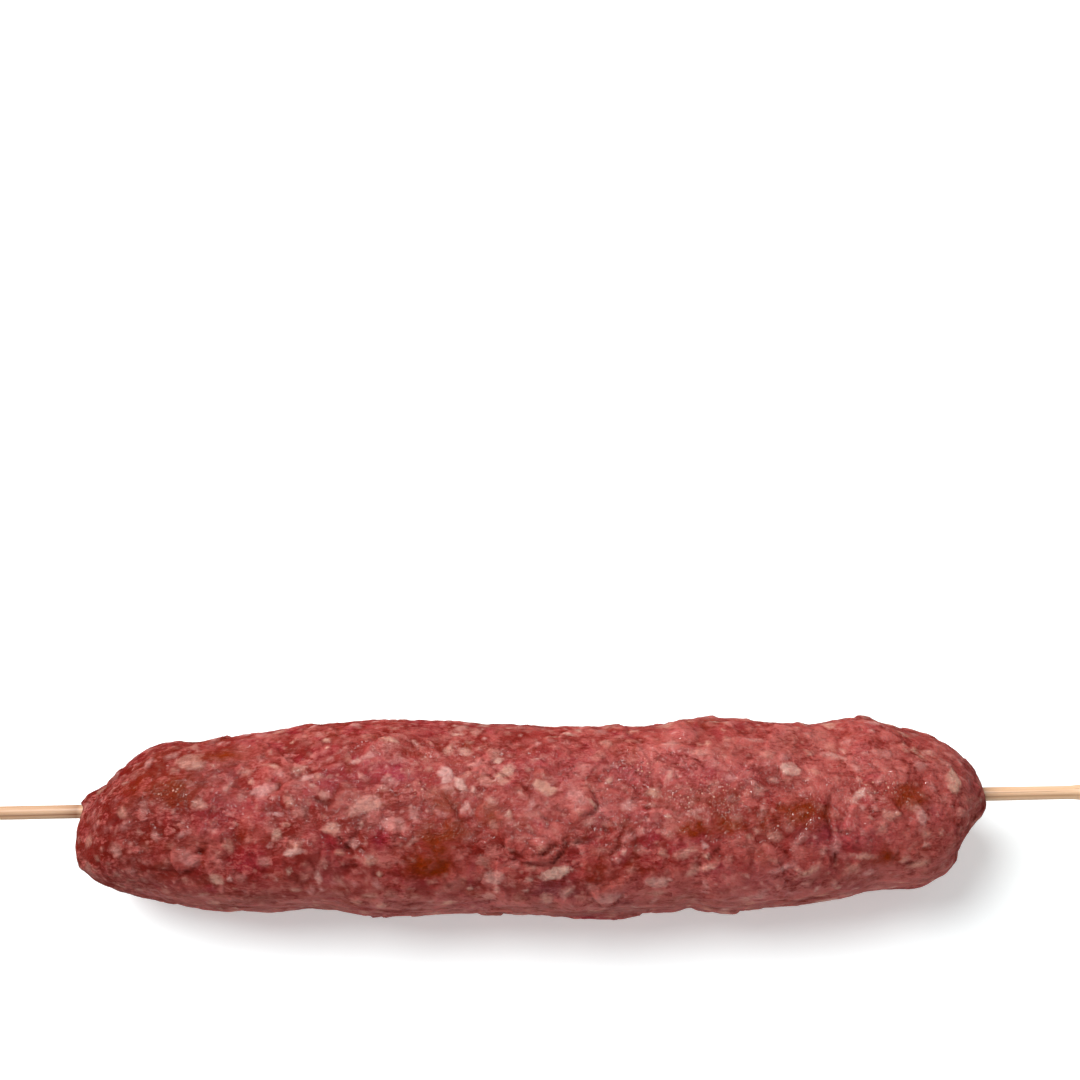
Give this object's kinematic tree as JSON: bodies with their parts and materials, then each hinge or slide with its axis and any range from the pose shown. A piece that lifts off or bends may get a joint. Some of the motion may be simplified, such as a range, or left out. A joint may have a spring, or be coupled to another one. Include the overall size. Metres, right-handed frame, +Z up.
{
  "type": "kofta skewer",
  "caption": "Raw hand-pressed minced-meat kofta on a round pointed bamboo stick, lying on its flattened underside.",
  "frame": {"origin": "middle of the whole object's base: halfway along and across its box, on the surface that the meat rests on", "axes": "+X along the stick towards its point, +Z up from the flattened underside of the meat"},
  "size_m": [0.3, 0.037, 0.0273],
  "materials": {
    "mince": "moist satin raw minced meat with pale fat",
    "bamboo": "smooth bare bamboo"
  },
  "bodies": {
    "root": {"meat": "mince", "stick": "bamboo"}
  },
  "joints": []
}
